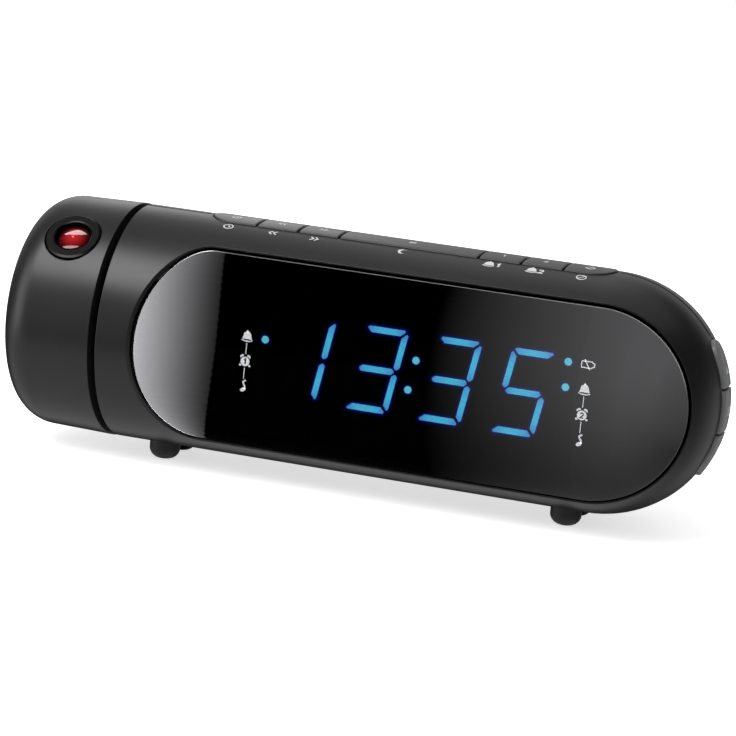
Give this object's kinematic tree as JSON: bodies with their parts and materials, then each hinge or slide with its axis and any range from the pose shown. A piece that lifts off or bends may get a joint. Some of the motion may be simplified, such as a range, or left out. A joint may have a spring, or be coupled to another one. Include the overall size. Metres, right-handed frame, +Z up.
{
  "type": "projection alarm clock",
  "caption": "Capsule-shaped desk clock with a smoked front window over blue digits, push buttons along the top and right end, and a turning projector drum.",
  "frame": {"origin": "on the table under the middle of the clock's length and depth", "axes": "+X to the right along the capsule's axis, seen from the front; -Y out of the display; +Z up"},
  "size_m": [0.1938, 0.0642, 0.0677],
  "materials": {
    "body_plastic": "satin moulded charcoal",
    "top_button_plastic": "satin moulded charcoal",
    "side_button_plastic": "satin moulded grey",
    "smoked_window": "polished smoked acrylic",
    "gasket_foam": "black adhesive foam",
    "reflector_black": "matt black reflector block",
    "led_blue": "lit blue diffuser",
    "icon_white": "white light guide",
    "board_green": "solder-masked laminate",
    "component_black": "moulded component bodies",
    "steel": "zinc-plated steel",
    "ribbon_white": "flat flexible cable",
    "plated_steel": "plated pressed steel",
    "cone_paper": "pressed paper cone",
    "inner_plastic": "unpainted moulded plastic",
    "cell_jacket": "plain jacketed cells",
    "nickel": "nickel-plated spring steel",
    "socket_plastic": "moulded socket",
    "foot_rubber": "soft moulded rubber",
    "felt": "pressed felt",
    "ring_plastic": "semi-gloss dark grey",
    "lens_red": "red-tinted coated lens",
    "lcd_glass": "small transmissive panel",
    "clear_lens": "clear moulded lens"
  },
  "bodies": {
    "body": {"front_shell": "body_plastic", "rear_shell": "body_plastic", "battery_door": "body_plastic", "display_window": "smoked_window", "window_gasket": "gasket_foam", "led_housing": "reflector_black", "led_segments": "led_blue", "icon_light_guides": "icon_white", "main_board": "board_green", "board_components": "component_black", "board_screws": "steel", "switch_board": "board_green", "top_switches": "component_black", "switch_ribbon": "ribbon_white", "side_switch_board": "board_green", "side_switches": "component_black", "speaker_basket": "plated_steel", "speaker_magnet": "plated_steel", "speaker_cone": "cone_paper", "battery_tray": "inner_plastic", "battery_cells": "cell_jacket", "battery_contacts": "nickel", "power_socket": "socket_plastic", "case_screws": "steel", "feet": "foot_rubber", "drum_bearing": "inner_plastic", "friction_washer": "felt", "drum_clip": "steel"},
    "drum": {"drum_shell": "body_plastic", "drum_hub": "inner_plastic", "drum_screws": "steel", "lens_ring": "ring_plastic", "projector_lens": "lens_red", "projector_barrel": "inner_plastic", "projector_lcd": "lcd_glass", "condenser_lens": "clear_lens", "projector_led_board": "board_green"},
    "button_time": {"button_time": "top_button_plastic"},
    "button_hour": {"button_hour": "top_button_plastic"},
    "button_minute": {"button_minute": "top_button_plastic"},
    "button_snooze": {"button_snooze": "top_button_plastic"},
    "button_alarm_1": {"button_alarm_1": "top_button_plastic"},
    "button_alarm_2": {"button_alarm_2": "top_button_plastic"},
    "button_alarm_off": {"button_alarm_off": "top_button_plastic"},
    "button_side_upper": {"button_side_upper": "side_button_plastic"},
    "button_side_middle": {"button_side_middle": "side_button_plastic"},
    "button_side_lower": {"button_side_lower": "side_button_plastic"}
  },
  "joints": [
    {"name": "drum_turn", "type": "hinge", "parent": "body", "child": "drum", "pos_m": [-0.0733, 0, 0.0354], "axis": [-1, 0, 0], "range_deg": [-48.8, 131.2]},
    {"name": "time_press", "type": "slide", "parent": "body", "child": "button_time", "axis": [0, 0, -1], "range_m": [0, 0.0008], "stiffness_N_per_m": 400, "springref_m": -0.0005},
    {"name": "hour_press", "type": "slide", "parent": "body", "child": "button_hour", "axis": [0, 0, -1], "range_m": [0, 0.0008], "stiffness_N_per_m": 400, "springref_m": -0.0005},
    {"name": "minute_press", "type": "slide", "parent": "body", "child": "button_minute", "axis": [0, 0, -1], "range_m": [0, 0.0008], "stiffness_N_per_m": 400, "springref_m": -0.0005},
    {"name": "snooze_press", "type": "slide", "parent": "body", "child": "button_snooze", "axis": [0, 0, -1], "range_m": [0, 0.0008], "stiffness_N_per_m": 400, "springref_m": -0.0005},
    {"name": "alarm_1_press", "type": "slide", "parent": "body", "child": "button_alarm_1", "axis": [0, 0, -1], "range_m": [0, 0.0008], "stiffness_N_per_m": 400, "springref_m": -0.0005},
    {"name": "alarm_2_press", "type": "slide", "parent": "body", "child": "button_alarm_2", "axis": [0, 0, -1], "range_m": [0, 0.0008], "stiffness_N_per_m": 400, "springref_m": -0.0005},
    {"name": "alarm_off_press", "type": "slide", "parent": "body", "child": "button_alarm_off", "axis": [0, 0, -1], "range_m": [0, 0.0008], "stiffness_N_per_m": 400, "springref_m": -0.0005},
    {"name": "side_upper_press", "type": "slide", "parent": "body", "child": "button_side_upper", "axis": [-1, 0, 0], "range_m": [0, 0.0008], "stiffness_N_per_m": 400, "springref_m": -0.0005},
    {"name": "side_middle_press", "type": "slide", "parent": "body", "child": "button_side_middle", "axis": [-1, 0, 0], "range_m": [0, 0.0008], "stiffness_N_per_m": 400, "springref_m": -0.0005},
    {"name": "side_lower_press", "type": "slide", "parent": "body", "child": "button_side_lower", "axis": [-1, 0, 0], "range_m": [0, 0.0008], "stiffness_N_per_m": 400, "springref_m": -0.0005}
  ]
}
